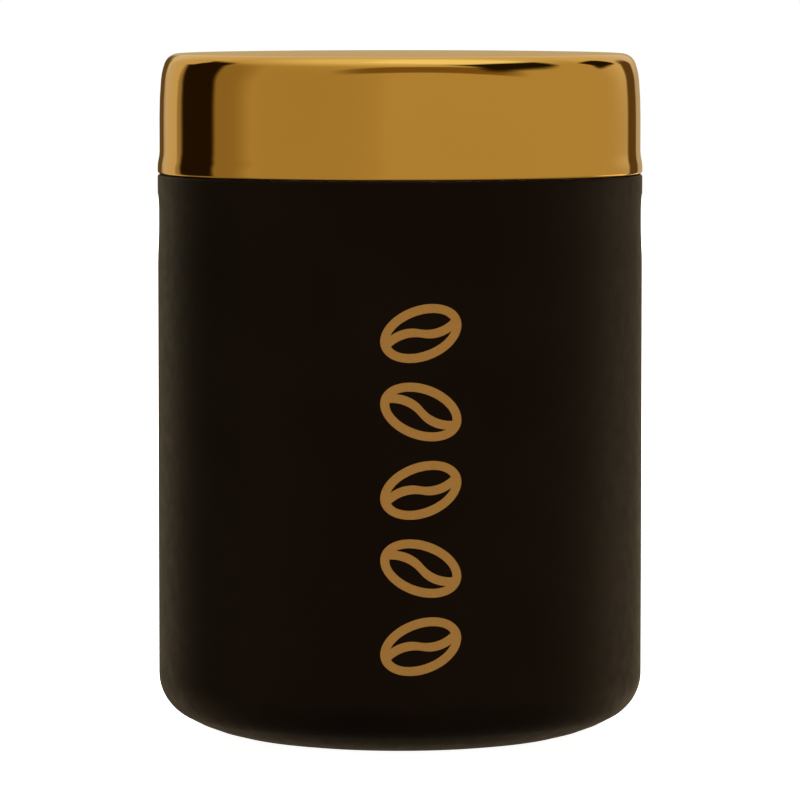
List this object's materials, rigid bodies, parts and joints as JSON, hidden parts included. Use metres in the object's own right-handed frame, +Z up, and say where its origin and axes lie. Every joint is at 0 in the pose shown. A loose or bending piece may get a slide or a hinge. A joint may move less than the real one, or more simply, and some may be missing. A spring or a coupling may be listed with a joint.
{
  "type": "lidded coffee canister",
  "caption": "Round black coffee canister with a rounded base, a folded mouth and a mirror-gold cap lid that lifts off on a sealed plug.",
  "frame": {"origin": "centre of the canister's foot, on the surface that it stands on", "axes": "+Z up the canister's axis, with the printed front facing -Y and +X to the right of it"},
  "size_m": [0.105, 0.1051, 0.1481],
  "materials": {
    "black_powder_coat": "matte",
    "gold_print": "satin",
    "gold_plate": "polished",
    "moulded_plastic": "satin",
    "silicone": "satin"
  },
  "bodies": {
    "canister": {"base_pan": "black_powder_coat", "body_wall": "black_powder_coat", "printed_motif": "gold_print"},
    "lid": {"lid_shell": "gold_plate", "lid_insert": "moulded_plastic", "seal_ring": "silicone"}
  },
  "joints": [
    {"name": "lid_lift", "type": "slide", "parent": "canister", "child": "lid", "axis": [0, 0, 1], "range_m": [0, 0.04]}
  ]
}
